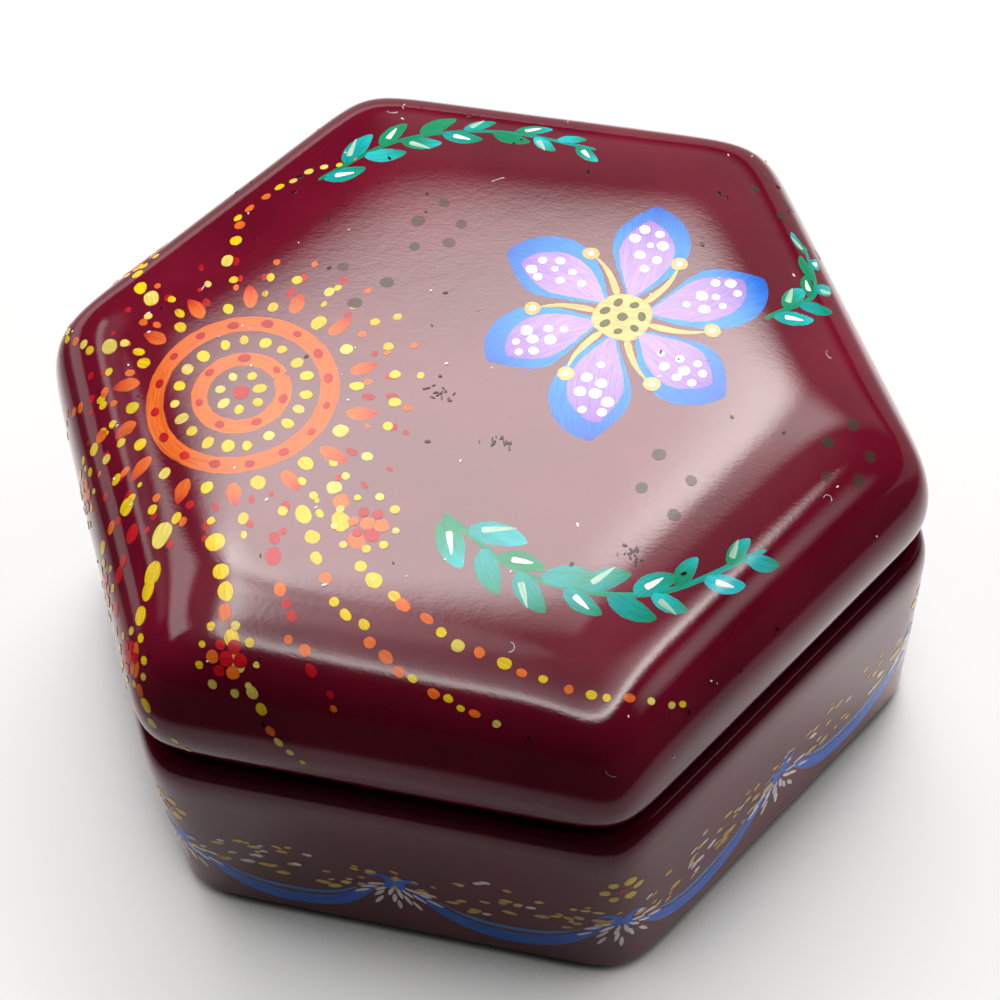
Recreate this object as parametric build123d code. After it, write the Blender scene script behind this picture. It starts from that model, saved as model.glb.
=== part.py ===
"""A hexagonal glazed pottery trinket box: a hollow base and a pillow-shaped lid that lifts off.

Millimetres, +Z up. The origin is the middle of the foot, on the table. Two corners of the
hexagon lie on the X axis and two of its flat sides face along Y.

Every form is a stack of level rings. A ring is a hexagon with rounded corners, and its "half"
is half its width across flats.
"""
from build123d import *
import os

SIDES = 6

# Overall sizes of the box
LID_WIDTH = 90.0             # across two flat sides, at its widest line
CORNER_RADIUS = 8.0          # of the vertical corners, at the lid's widest line
SEAM_HEIGHT = 31.5

# Lid, outside
LID_SIDE_HEIGHT = 5.6        # from the seam up to the lid's widest line
LID_SIDE_TUCK = 2.7          # how far the side curls in from there to the land on the rim
CROWN_HEIGHT = 15.2          # from the widest line up to the middle of the top
CROWN_SQUARENESS = 7.0       # exponent of the crown's section: 2 is round, more is boxier
CROWN_ROUNDING = 1.3         # exponent of how late its rings turn from hexagon to circle
MIDDLE_ROUNDNESS = 0.94      # corner radius over half width, in the middle of the crown

# Lid, inside
LID_WALL = 4.2
CROWN_WALL = 4.0
FLANGE_DEPTH = 4.0
FLANGE_THICKNESS = 2.8
FLANGE_CLEARANCE = 0.6       # between the flange and the mouth of the base
FLANGE_EDGE = 0.8
FLANGE_ROOT = 1.5            # how far its bore runs on above the seam, before the hollow

# Base, outside
BASE_OVERHANG = 0.6          # how far the base's widest line stands out past the lid's
SHOULDER_HEIGHT = 5.6        # from the base's widest line up to the rim
SHOULDER_TUCK = 2.5          # how far the shoulder curls in from there to the rim
SHOULDER_SQUARENESS = 2.5
FOOT_TAPER = 0.5             # how far the side draws in from its widest line to the foot
FOOT_ROUNDING = 2.7

# Base, inside and underneath
RIM_WIDTH = 2.7
MOUTH_EDGE = 0.5
FLOOR_THICKNESS = 4.5
FLOOR_ROUNDING = 5.0
FOOT_RING_WIDTH = 5.0
RECESS_DEPTH = 1.0
RECESS_EDGE = 0.5

# Sizes that follow from those above
LID_HALF = LID_WIDTH / 2
LID_WIDEST = SEAM_HEIGHT + LID_SIDE_HEIGHT
BASE_HALF = LID_HALF + BASE_OVERHANG
BASE_WIDEST = SEAM_HEIGHT - SHOULDER_HEIGHT
FOOT_HALF = BASE_HALF - FOOT_TAPER
RIM_HALF = BASE_HALF - SHOULDER_TUCK
MOUTH_HALF = RIM_HALF - RIM_WIDTH
FLOOR_HEIGHT = RECESS_DEPTH + FLOOR_THICKNESS
RECESS_HALF = FOOT_HALF - FOOT_ROUNDING - FOOT_RING_WIDTH
FLANGE_HALF = MOUTH_HALF - FLANGE_CLEARANCE
BORE_HALF = FLANGE_HALF - FLANGE_THICKNESS
HOLLOW_HALF = LID_HALF - LID_WALL
HOLLOW_START = SEAM_HEIGHT + FLANGE_ROOT
SIDE_ROUNDNESS = CORNER_RADIUS / LID_HALF

# How many rings draw a form
EDGE_STEPS = 5
HOLLOW_STEPS = 9
CROWN_STEPS = 20


def ring(half, height, roundness=SIDE_ROUNDNESS):
    """A level hexagon whose corner radius is its half times its roundness."""
    hexagon = RegularPolygon(half, SIDES, major_radius=False)
    return Pos(0, 0, height) * fillet(hexagon.vertices(), half * roundness)


def stack(profile):
    """The solid through rings at a list of (half, height)."""
    return loft([ring(half, height) for half, height in profile], ruled=True)


def block(half, bottom, top):
    """A straight-sided hexagonal block."""
    return stack([(half, bottom), (half, top)])


def bulge(steps, across=2.0, upward=2.0):
    """Points of a quarter of a superellipse with unit axes, from (1, 0) up to (0, 1)."""
    points = []
    for step in range(steps + 1):
        x = 1 - (step / steps) ** 2
        points.append((x, (1 - x ** across) ** (1 / upward)))
    return points


def side_edge(half, height, inset, rise, squareness=2.0):
    """The profile of a side that curls in by inset while it goes up, or down, by rise."""
    curve = bulge(EDGE_STEPS, squareness, squareness)
    return [(half - inset * (1 - x), height + rise * y) for x, y in curve]


def lid_outside():
    """A side that swells from its land to its widest line, under a pillowed crown.

    The crown's rings turn from the side's hexagon into almost a circle in the middle.
    """
    side = side_edge(LID_HALF, LID_WIDEST, LID_SIDE_TUCK, -LID_SIDE_HEIGHT)
    rings = [ring(half, height) for half, height in reversed(side)]
    for x, y in bulge(CROWN_STEPS, across=CROWN_SQUARENESS)[1:-1]:
        turned = (1 - x) ** CROWN_ROUNDING
        roundness = SIDE_ROUNDNESS + (MIDDLE_ROUNDNESS - SIDE_ROUNDNESS) * turned
        rings.append(ring(LID_HALF * x, LID_WIDEST + CROWN_HEIGHT * y, roundness))
    return loft(rings, ruled=True)


def lid_hollow():
    """The space inside the lid: the flange's bore, a swelling side and a ceiling."""
    swell = side_edge(HOLLOW_HALF, LID_WIDEST, HOLLOW_HALF - BORE_HALF, HOLLOW_START - LID_WIDEST)
    rise = CROWN_HEIGHT - CROWN_WALL
    ceiling = bulge(HOLLOW_STEPS, across=CROWN_SQUARENESS)[1:-1]
    profile = [(BORE_HALF, SEAM_HEIGHT - FLANGE_DEPTH)]
    profile += reversed(swell)
    profile += [(HOLLOW_HALF * x, LID_WIDEST + rise * y) for x, y in ceiling]
    return stack(profile)


def make_lid():
    """The lid, with a flat land that rests on the rim and a flange that centres it."""
    flange = block(FLANGE_HALF, SEAM_HEIGHT - FLANGE_DEPTH, HOLLOW_START)
    lid = lid_outside() + flange - lid_hollow()
    flange_end = lid.faces().sort_by(Axis.Z)[0]
    return chamfer(flange_end.edges(), FLANGE_EDGE)


def base_outside():
    """A side that tapers a little to a rounded foot, under a shoulder that curls in."""
    foot = side_edge(FOOT_HALF, FOOT_ROUNDING, FOOT_ROUNDING, -FOOT_ROUNDING)
    shoulder = side_edge(
        BASE_HALF, BASE_WIDEST, SHOULDER_TUCK, SHOULDER_HEIGHT, SHOULDER_SQUARENESS
    )
    return stack(foot[::-1] + shoulder)


def base_cavity():
    """The space inside the base, with a rounded floor corner."""
    corner = FLOOR_HEIGHT + FLOOR_ROUNDING
    floor = side_edge(MOUTH_HALF, corner, FLOOR_ROUNDING, -FLOOR_ROUNDING)
    return stack(floor[::-1] + [(MOUTH_HALF, SEAM_HEIGHT)])


def make_base():
    """The hollow base, with a flat rim for the lid and a shallow recess inside its foot ring."""
    base = base_outside() - base_cavity() - block(RECESS_HALF, 0, RECESS_DEPTH)
    rim = base.faces().sort_by(Axis.Z)[-1]
    base = chamfer(rim.inner_wires()[0].edges(), MOUTH_EDGE)
    foot = base.faces().sort_by(Axis.Z)[0]
    return chamfer(foot.inner_wires()[0].edges(), RECESS_EDGE)


PIECES = {"base": make_base, "lid": make_lid}

os.makedirs("parts", exist_ok=True)
for name, make in PIECES.items():
    export_step(make(), f"parts/{name}.step")
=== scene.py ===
"""The looks of a hexagonal glazed pottery trinket box, painted by hand, on a white table.

Metres, +Z up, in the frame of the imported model: the origin is the middle of the foot. Two corners
of the hexagon lie on the X axis. Lid and base are replaced by finer meshes of the same form, and the
brushwork lies on them as thin raised marks, drawn flat and wrapped onto the glaze.
"""
import math
import random
from random import choice, uniform

import bpy
import numpy as np
from mathutils import Matrix, Vector, noise


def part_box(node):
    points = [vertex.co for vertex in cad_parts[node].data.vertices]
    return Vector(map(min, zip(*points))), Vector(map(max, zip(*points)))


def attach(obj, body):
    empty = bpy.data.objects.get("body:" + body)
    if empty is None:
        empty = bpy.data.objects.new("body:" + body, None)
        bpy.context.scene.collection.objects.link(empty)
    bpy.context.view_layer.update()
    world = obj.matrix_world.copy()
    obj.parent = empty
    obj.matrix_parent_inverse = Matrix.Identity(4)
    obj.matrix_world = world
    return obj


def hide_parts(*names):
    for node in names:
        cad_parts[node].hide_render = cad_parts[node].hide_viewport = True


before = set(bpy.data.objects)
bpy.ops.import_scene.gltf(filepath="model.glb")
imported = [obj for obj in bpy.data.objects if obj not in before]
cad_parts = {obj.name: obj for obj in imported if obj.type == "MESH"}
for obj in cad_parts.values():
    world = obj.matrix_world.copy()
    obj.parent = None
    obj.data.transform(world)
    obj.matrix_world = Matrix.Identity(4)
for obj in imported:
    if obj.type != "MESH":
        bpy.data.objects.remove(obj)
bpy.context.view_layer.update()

MM = 0.001
SIDES = 6

# Sizes read from the frame
LID_LOW, LID_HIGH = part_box("lid")
BASE_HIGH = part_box("base")[1]
LID_HALF = LID_HIGH.y
BASE_HALF = BASE_HIGH.y
TOP = LID_HIGH.z
SEAM = BASE_HIGH.z
FLANGE_END = LID_LOW.z

# Sizes of the lid's form
SIDE_ROUNDNESS = 8.0 / 45.0      # corner radius over half the width across flats
MIDDLE_ROUNDNESS = 0.94
LID_SIDE_HEIGHT = 5.6 * MM
LID_SIDE_TUCK = 2.7 * MM
CROWN_SQUARENESS = 7.0
CROWN_ROUNDING = 1.3
LID_WALL = 4.2 * MM
CROWN_WALL = 4.0 * MM
FLANGE_THICKNESS = 2.8 * MM
FLANGE_CLEARANCE = 0.6 * MM
FLANGE_EDGE = 0.8 * MM
FLANGE_ROOT = 1.5 * MM

# Sizes of the base's form
SHOULDER_HEIGHT = 5.6 * MM
SHOULDER_TUCK = 2.5 * MM
SHOULDER_SQUARENESS = 2.5
FOOT_TAPER = 0.5 * MM
FOOT_ROUNDING = 2.7 * MM
RIM_WIDTH = 2.7 * MM
FLOOR_THICKNESS = 4.5 * MM
FLOOR_ROUNDING = 5.0 * MM
FOOT_RING_WIDTH = 5.0 * MM
RECESS_DEPTH = 1.0 * MM
EDGE_SOFTNESS = 0.5 * MM

# Sizes that follow
WIDEST = SEAM + LID_SIDE_HEIGHT
CROWN = TOP - WIDEST
BASE_WIDEST = SEAM - SHOULDER_HEIGHT
FOOT_HALF = BASE_HALF - FOOT_TAPER
RIM_HALF = BASE_HALF - SHOULDER_TUCK
MOUTH_HALF = RIM_HALF - RIM_WIDTH
FLOOR_HEIGHT = RECESS_DEPTH + FLOOR_THICKNESS
FLANGE_HALF = MOUTH_HALF - FLANGE_CLEARANCE
BORE_HALF = FLANGE_HALF - FLANGE_THICKNESS
HOLLOW_HALF = LID_HALF - LID_WALL
HOLLOW_START = SEAM + FLANGE_ROOT
FOOT_LAND = FOOT_HALF - FOOT_ROUNDING
RECESS_HALF = FOOT_LAND - FOOT_RING_WIDTH

# The glaze
AROUND = 432                     # points round each ring
CROWN_STEPS = 96
EDGE_STEPS = 16
CENTRE_SHARE = 0.001             # the crown's first ring, next to its middle
GLAZE_INSET = 0.16 * MM          # room under the part's outline for the brushwork
FLANK_WAVE = 0.13 * MM           # depth of the hand-rubbed unevenness of the sides
TOP_WAVE = 0.05 * MM
WAVE_FADE = 4 * MM               # how far from seam and foot the unevenness is full
CROWN_CALM = 1.2 * MM            # how far below the top the sides' unevenness starts
CROWN_FADE = 5 * MM
DRY_RIM = 0.52 * MM              # how far down the base's rim the glaze is rubbed dull
FOOT_LEVEL = 0.05 * MM           # faces whose middle is below this are bare clay

# The camera, fitted to the outline of the box
CAMERA_PLACE = Vector((50.503, -151.768, 244.595)) * MM
CAMERA_AIM = Vector((1.889, -0.510, 26.150)) * MM
CAMERA_ROLL = math.radians(-5.292)
CAMERA_LENS = 83.30
SENSOR = 36.0


def corner_power(roundness):
    """The exponent that gives a smooth hexagon the corners of one with such a corner radius."""
    flat_to_corner = 1 - math.cos(math.pi / SIDES)
    return -math.log(2) / math.log(1 - flat_to_corner * roundness)


def ring(half, height, roundness=SIDE_ROUNDNESS):
    """Points of a level hexagon with rounded corners, two of them on the X axis."""
    angle = np.arange(AROUND) * 2 * math.pi / AROUND
    power = corner_power(roundness)
    total = np.zeros(AROUND)
    for side in range(SIDES):
        facing = np.cos(angle - (side + 0.5) * 2 * math.pi / SIDES)
        total += np.clip(facing, 0, None) ** power
    radius = half / total ** (1 / power)
    level = np.full(AROUND, height)
    return np.stack([radius * np.cos(angle), radius * np.sin(angle), level], axis=1)


def bulge(steps, across=2.0, upward=2.0):
    """Points of a quarter of a superellipse with unit axes, from (1, 0) up to (0, 1)."""
    points = []
    for step in range(steps + 1):
        x = 1 - (step / steps) ** 2
        points.append((x, (1 - x ** across) ** (1 / upward)))
    return points


def side_edge(half, height, inset, rise, squareness=2.0):
    """A side that curls in by inset while it goes up, or down, by rise."""
    curve = bulge(EDGE_STEPS, squareness, squareness)
    return [(half - inset * (1 - x), height + rise * y) for x, y in curve]


def span(start, end, steps):
    """Evenly spaced points between two, without either."""
    places = [step / steps for step in range(1, steps)]
    return [(start[0] + (end[0] - start[0]) * t, start[1] + (end[1] - start[1]) * t) for t in places]


def softened(before, corner, after, size, steps=5):
    """A corner of a profile, rounded off by a curve that starts and ends size away from it."""
    corner, before, after = Vector(corner), Vector(before), Vector(after)
    start = corner + (before - corner).normalized() * size
    end = corner + (after - corner).normalized() * size
    points = []
    for step in range(steps + 1):
        t = step / steps
        point = start * (1 - t) ** 2 + corner * 2 * t * (1 - t) + end * t ** 2
        points.append((point.x, point.y))
    return points


def crown_roundness(share):
    """How round the crown's ring is where it has this share of the lid's width."""
    return SIDE_ROUNDNESS + (MIDDLE_ROUNDNESS - SIDE_ROUNDNESS) * (1 - share) ** CROWN_ROUNDING


def lid_outline():
    """Rings of the lid's outside, from the middle of the crown down to its land."""
    rings = [ring(LID_HALF * CENTRE_SHARE, TOP, MIDDLE_ROUNDNESS)]
    for x, y in reversed(bulge(CROWN_STEPS, across=CROWN_SQUARENESS)[:-1]):
        rings.append(ring(LID_HALF * x, WIDEST + CROWN * y, crown_roundness(x)))
    for half, height in side_edge(LID_HALF, WIDEST, LID_SIDE_TUCK, -LID_SIDE_HEIGHT)[1:-1]:
        rings.append(ring(half, height))
    return rings


def lid_inside():
    """Rings from the lid's land round the flange and up inside to the ceiling."""
    land_edge = (LID_HALF - LID_SIDE_TUCK, SEAM)
    flange_root = (FLANGE_HALF, SEAM)
    flange_foot = (FLANGE_HALF, FLANGE_END)
    bore_foot = (BORE_HALF, FLANGE_END)
    bore_end = (BORE_HALF, HOLLOW_START)
    profile = softened((land_edge[0], SEAM + MM), land_edge, flange_root, EDGE_SOFTNESS)
    profile += softened(land_edge, flange_root, flange_foot, EDGE_SOFTNESS / 2)
    profile += span(flange_root, flange_foot, 6)[1:-1]
    profile += softened(flange_root, flange_foot, bore_foot, FLANGE_EDGE)
    profile += softened(flange_foot, bore_foot, bore_end, FLANGE_EDGE)
    profile += span(bore_foot, bore_end, 6)[1:]
    swell = side_edge(HOLLOW_HALF, WIDEST, HOLLOW_HALF - BORE_HALF, HOLLOW_START - WIDEST)
    profile += reversed(swell)
    for x, y in bulge(CROWN_STEPS // 3, across=CROWN_SQUARENESS)[1:-1]:
        profile.append((HOLLOW_HALF * x, WIDEST + (CROWN - CROWN_WALL) * y))
    return [ring(half, height) for half, height in profile]


def base_outline():
    """Rings of the base's outside, from the rim down to the foot's land."""
    shoulder = side_edge(BASE_HALF, BASE_WIDEST, SHOULDER_TUCK, SHOULDER_HEIGHT, SHOULDER_SQUARENESS)
    foot = side_edge(FOOT_HALF, FOOT_ROUNDING, FOOT_ROUNDING, -FOOT_ROUNDING)
    profile = shoulder[::-1][1:] + span(shoulder[0], foot[0], 24) + foot[:-1]
    return [ring(half, height) for half, height in profile]


def base_inside():
    """Rings from the middle of the base's floor up its inner wall to the rim."""
    corner = FLOOR_HEIGHT + FLOOR_ROUNDING
    floor = side_edge(MOUTH_HALF, corner, FLOOR_ROUNDING, -FLOOR_ROUNDING)
    mouth = (MOUTH_HALF, SEAM)
    rim = (RIM_HALF, SEAM)
    profile = [(floor[-1][0] * share, FLOOR_HEIGHT) for share in (0.02, 0.25, 0.5, 0.75, 0.9)]
    profile += floor[::-1]
    profile += span(floor[0], mouth, 16)[:-1]
    profile += softened(floor[0], mouth, rim, EDGE_SOFTNESS)
    profile += softened(mouth, rim, (RIM_HALF, SEAM - MM), EDGE_SOFTNESS)
    return [ring(half, height) for half, height in profile]


def base_underside():
    """Rings of the foot's land and the recess inside it, from outside to the middle."""
    land_edge = (RECESS_HALF, 0)
    recess_edge = (RECESS_HALF, RECESS_DEPTH)
    profile = [(FOOT_LAND, 0)] + span((FOOT_LAND, 0), land_edge, 4)
    profile += softened((FOOT_LAND, 0), land_edge, recess_edge, EDGE_SOFTNESS)
    profile += softened(land_edge, recess_edge, (0, RECESS_DEPTH), EDGE_SOFTNESS)
    profile += [(RECESS_HALF * share, RECESS_DEPTH) for share in (0.75, 0.5, 0.25, 0.02)]
    return [ring(half, height) for half, height in profile]


class Skin:
    """The outside of a piece as a grid of rings, which brushwork can be wrapped onto."""

    def __init__(self, rings, wave):
        self.points = np.array(rings)
        self.points -= self.normals() * self.depth(wave)[:, :, None]
        self.outward = self.normals()

    def normals(self):
        """The outward direction at each point of the grid."""
        along = np.gradient(self.points, axis=0)
        behind = np.roll(self.points, 1, axis=1)
        ahead = np.roll(self.points, -1, axis=1)
        normal = np.cross(along, ahead - behind)
        return normal / np.linalg.norm(normal, axis=2, keepdims=True)

    def depth(self, wave):
        """How far each point lies under the piece's outline: an even inset and a slow unevenness."""
        rows, columns = self.points.shape[:2]
        depth = np.empty((rows, columns))
        for row in range(rows):
            for column in range(columns):
                x, y, z = self.points[row, column]
                depth[row, column] = GLAZE_INSET + wave(x, y, z)
        return depth

    def at(self, columns, rows, heights):
        """Places on the skin at broken row and column numbers, lifted by heights, and its normals there."""
        last = len(self.points) - 1
        rows = np.clip(rows, 0, last - 1e-6)
        row, column = np.floor(rows).astype(int), np.floor(columns).astype(int)
        down, along = (rows - row)[:, None], (columns - column)[:, None]
        here, following = column % AROUND, (column + 1) % AROUND

        def blended(grid):
            upper = grid[row, here] * (1 - along) + grid[row, following] * along
            lower = grid[row + 1, here] * (1 - along) + grid[row + 1, following] * along
            return upper * (1 - down) + lower * down

        outward = blended(self.outward)
        return blended(self.points) + outward * heights[:, None], outward

    def rows_at(self, columns, lengths, start):
        """Row numbers where the skin, measured down its rows from start, has these lengths."""
        steps = np.linalg.norm(np.diff(self.points, axis=0), axis=2)
        measured = start + np.concatenate([np.zeros((1, AROUND)), np.cumsum(steps, axis=0)])
        column = np.floor(columns).astype(int)
        along = columns - column
        run = measured[:, column % AROUND] * (1 - along) + measured[:, (column + 1) % AROUND] * along
        row = np.clip((run < lengths).sum(axis=0) - 1, 0, len(run) - 2)
        every = np.arange(len(lengths))
        before, after = run[row, every], run[row + 1, every]
        return row + np.clip((lengths - before) / (after - before), 0, 1)


class LidPlan:
    """The lid as a flat plan: its middle is (0, 0), and distances from it are kept over the edge."""

    def __init__(self, skin):
        self.skin = skin

    def wrap(self, plan, heights):
        """Places of the plan on the lid, lifted by heights, and the normals there."""
        columns = (np.arctan2(plan[:, 1], plan[:, 0]) / (2 * math.pi) % 1) * AROUND
        away = np.hypot(plan[:, 0], plan[:, 1])
        rows = self.skin.rows_at(columns, away, LID_HALF * CENTRE_SHARE)
        return self.skin.at(columns, rows, heights)


class BasePlan:
    """The base's sides as one strip: u goes round from the corner on the X axis, v goes up."""

    def __init__(self, skin):
        self.skin = skin
        widest = skin.points[EDGE_STEPS]
        steps = np.linalg.norm(np.roll(widest, -1, axis=0) - widest, axis=1)
        self.around = np.concatenate([[0], np.cumsum(steps)])
        self.side = self.around[-1] / SIDES

    def wrap(self, plan, heights):
        """Places of the plan on the base's sides, lifted by heights, and the normals there."""
        columns = np.interp(plan[:, 0] % self.around[-1], self.around, np.arange(AROUND + 1))
        rows = np.interp(-plan[:, 1], -self.skin.points[:, 0, 2], np.arange(len(self.skin.points)))
        return self.skin.at(columns, rows, heights)


def faded(distance, reach=WAVE_FADE):
    """From 0 at no distance to 1 at reach and beyond."""
    return min(1, max(0, distance / reach))


def ripple(x, y, z, length, height, seed):
    """Noise with waves of such a length sideways and such a height upward."""
    return noise.noise(Vector((x / length, y / length, z / height + seed)))


def lid_wave(x, y, z):
    """Unevenness of the lid: ripples along its sides, almost none on top, none at the seam."""
    above_seam = faded(z - SEAM)
    side = faded(TOP - CROWN_CALM - z, CROWN_FADE) * above_seam
    long_ripple = ripple(x, y, z, 17 * MM, 9 * MM, 3)
    short_ripple = ripple(x, y, z, 8 * MM, 4 * MM, 9)
    swell = ripple(x, y, 0, 26 * MM, MM, 20)
    flank = FLANK_WAVE * (0.5 + 0.42 * long_ripple + 0.16 * short_ripple)
    return side * flank + (1 - side) * TOP_WAVE * (0.5 + 0.5 * swell) * above_seam


def base_wave(x, y, z):
    """Unevenness of the base's sides, none at the rim and the foot."""
    share = faded(SEAM - z) * faded(z)
    return share * FLANK_WAVE * (0.5 + 0.5 * ripple(x, y, z, 15 * MM, 11 * MM, 40))


def mesh_object(name, vertices, faces, smooth=True):
    """A mesh as an object in the scene."""
    mesh = bpy.data.meshes.new(name)
    mesh.from_pydata([tuple(vertex) for vertex in vertices], [], faces)
    mesh.update()
    if smooth:
        mesh.polygons.foreach_set("use_smooth", [True] * len(mesh.polygons))
    made = bpy.data.objects.new(name, mesh)
    bpy.context.scene.collection.objects.link(made)
    return made


def grid_faces(rows, columns, first=0, closed=False):
    """Faces between the points of a grid, each row's end joined to its start or not."""
    faces = []
    for row in range(rows - 1):
        here, below = first + row * columns, first + (row + 1) * columns
        for column in range(columns if closed else columns - 1):
            following = (column + 1) % columns
            faces.append((here + column, below + column, below + following, here + following))
    return faces


def closed_mesh(name, rings):
    """A closed mesh through rings from one middle to the other, with a point in each middle."""
    vertices = np.concatenate(rings)
    first = np.mean(rings[0], axis=0)
    last = np.mean(rings[-1], axis=0)
    vertices = list(vertices) + [first, last]
    first_index, last_index = len(vertices) - 2, len(vertices) - 1
    faces = []
    bottom = (len(rings) - 1) * AROUND
    for column in range(AROUND):
        following = (column + 1) % AROUND
        faces.append((first_index, column, following))
        faces.append((last_index, bottom + following, bottom + column))
    return mesh_object(name, vertices, faces + grid_faces(len(rings), AROUND, closed=True))


class Nodes:
    """Short calls for building a shader tree."""

    def __init__(self, tree):
        self.tree = tree
        self.tree.nodes.clear()

    def add(self, kind, sockets=None, **settings):
        """A new node. Its sockets, by name or number, get values or other nodes' outputs."""
        node = self.tree.nodes.new(kind)
        for name, value in settings.items():
            setattr(node, name, value)
        for socket, value in (sockets or {}).items():
            if isinstance(value, bpy.types.NodeSocket):
                self.tree.links.new(value, node.inputs[socket])
            elif value is not None:
                node.inputs[socket].default_value = value
        return node

    def math(self, operation, first, second=None, third=None):
        """A number made from up to three."""
        sockets = {0: first, 1: second, 2: third}
        return self.add("ShaderNodeMath", sockets, operation=operation).outputs[0]

    def times(self, first, second):
        return self.math("MULTIPLY", first, second)

    def ramp(self, value, start, end, low=0.0, high=1.0):
        """A smooth step from low at start to high at end."""
        sockets = {0: value, 1: start, 2: end, 3: low, 4: high}
        return self.add("ShaderNodeMapRange", sockets, interpolation_type="SMOOTHSTEP").outputs[0]

    def noise(self, place, scale, detail=2.0, roughness=0.5, stretch=None):
        """Noise with this many waves per metre."""
        if stretch:
            place = self.add("ShaderNodeMapping", {"Vector": place, "Scale": stretch}).outputs[0]
        sockets = {"Vector": place, "Scale": scale, "Detail": detail, "Roughness": roughness}
        return self.add("ShaderNodeTexNoise", sockets).outputs["Fac"]

    def mix(self, share, first, second):
        """A colour that goes from the first at no share to the second at 1."""
        return self.add("ShaderNodeMix", {0: share, 6: first, 7: second}, data_type="RGBA").outputs[2]

    def bump(self, height, distance, strength=1.0, under=None):
        """A surface direction bent by a height, on top of an earlier bend."""
        sockets = {"Height": height, "Distance": distance, "Strength": strength, "Normal": under}
        return self.add("ShaderNodeBump", sockets).outputs[0]

    def split(self, place):
        """The x, y and z of a place."""
        return self.add("ShaderNodeSeparateXYZ", {0: place}).outputs

    def surface(self, shader, kind="ShaderNodeOutputMaterial"):
        """Ends the tree with this shader."""
        self.add(kind, {"Surface": shader})


def material(name):
    """A new material and the calls for building it."""
    made = bpy.data.materials.new(name)
    made.use_nodes = True
    return made, Nodes(made.node_tree)


# The clear coat's slow unevenness, fine orange peel and brush grain, each as
# (waves per metre, detail, roughness, stretch, depth, strength)
COAT_BUMPS = [
    (260, 3, 0.5, None, 0.021 * MM, 0.5),
    (1100, 2, 0.5, None, 0.005 * MM, 0.7),
    (3200, 2, 0.6, (0.5, 1.0, 1.0), 0.007 * MM, 0.8),
]


def coated(nodes, colour, place, weight, roughness, index):
    """A matte colour under a clear coat, which has a weight, a roughness and an index of refraction."""
    skin = None
    for waves, detail, unevenness, stretch, depth, strength in COAT_BUMPS:
        height = nodes.noise(place, waves, detail, unevenness, stretch)
        skin = nodes.bump(height, depth, strength, under=skin)
    sockets = {
        "Base Color": colour, "Roughness": 0.5, "Specular IOR Level": 0.0, "Coat Weight": weight,
        "Coat Roughness": roughness, "Coat IOR": index, "Coat Normal": skin,
    }
    return nodes.add("ShaderNodeBsdfPrincipled", sockets).outputs[0]


GLAZE_DEEP = (0.088, 0.0030, 0.0118, 1)
GLAZE_LIGHT = (0.126, 0.0047, 0.0172, 1)
GLAZE_FLECK = (0.060, 0.0020, 0.0060, 1)
# Painted shade under the lid's overhang on the base's shoulder, also taken as glaze pooled below the rim
SHADE_AND_POOLED_GLAZE = (0.022, 0.0006, 0.0024, 1)
# Painted shade in the crevice at the base's rim, under the lid's edge
RIM_CREVICE_SHADE = (0.012, 0.0020, 0.0030, 1)
UNDER_LID_SHADE_START = 3.4 * MM            # below the seam
UNDER_LID_SHADE_FULL = 0.8 * MM
UNDER_PAINT = (0.125, 0.005, 0.017, 1)
CLAY_TONES = ((0.42, 0.27, 0.18, 1), (0.62, 0.45, 0.32, 1))
CLAY_ROUGHNESS = 0.85
CLAY_GRAIN = 0.05 * MM
# How rough each clear coat is, and its index of refraction
GLAZE_COAT = (0.06, 1.6)
PAINT_COAT = (0.15, 1.44)


def glaze_material():
    """Deep maroon with a cloudy tone and fine flecks, with painted shade under the seam and dull along the
    rim.
    """
    made, nodes = material("maroon_glaze")
    place = nodes.add("ShaderNodeTexCoord").outputs["Object"]
    cloud = nodes.noise(place, 45, 4, 0.55)
    fleck = nodes.noise(place, 900, 3, 0.6)
    tone = nodes.mix(nodes.ramp(cloud, 0.35, 0.68), GLAZE_DEEP, GLAZE_LIGHT)
    tone = nodes.mix(nodes.ramp(fleck, 0.60, 0.72, 0, 0.35), tone, GLAZE_FLECK)
    height = nodes.split(place)[2]
    under_lid = nodes.math("LESS_THAN", height, SEAM + 0.01 * MM)

    def under_seam(start, full, most=1):
        """A share that grows from start to full, two distances below the seam, on the base alone."""
        return nodes.times(nodes.ramp(height, SEAM - start, SEAM - full, 0, most), under_lid)

    dry = under_seam(DRY_RIM * 1.2, DRY_RIM)
    # Painted shade on the base's shoulder under the lid, also taken as pooled glaze
    tone = nodes.mix(under_seam(UNDER_LID_SHADE_START, UNDER_LID_SHADE_FULL, 0.7), tone, SHADE_AND_POOLED_GLAZE)
    # Painted shade in the crevice at the rim, where lid and base meet
    tone = nodes.mix(under_seam(DRY_RIM * 0.7, DRY_RIM * 0.2), tone, RIM_CREVICE_SHADE)
    nodes.surface(coated(nodes, tone, place, nodes.math("SUBTRACT", 1.0, dry), *GLAZE_COAT))
    return made


def clay_material():
    """Bare fired clay, where the foot was wiped clean of glaze."""
    made, nodes = material("bare_clay")
    place = nodes.add("ShaderNodeTexCoord").outputs["Object"]
    grain = nodes.noise(place, 900, 5, 0.65)
    tone = nodes.mix(nodes.ramp(grain, 0.35, 0.7), *CLAY_TONES)
    sockets = {"Base Color": tone, "Roughness": CLAY_ROUGHNESS, "Normal": nodes.bump(grain, CLAY_GRAIN)}
    nodes.surface(nodes.add("ShaderNodeBsdfPrincipled", sockets).outputs[0])
    return made


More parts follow.
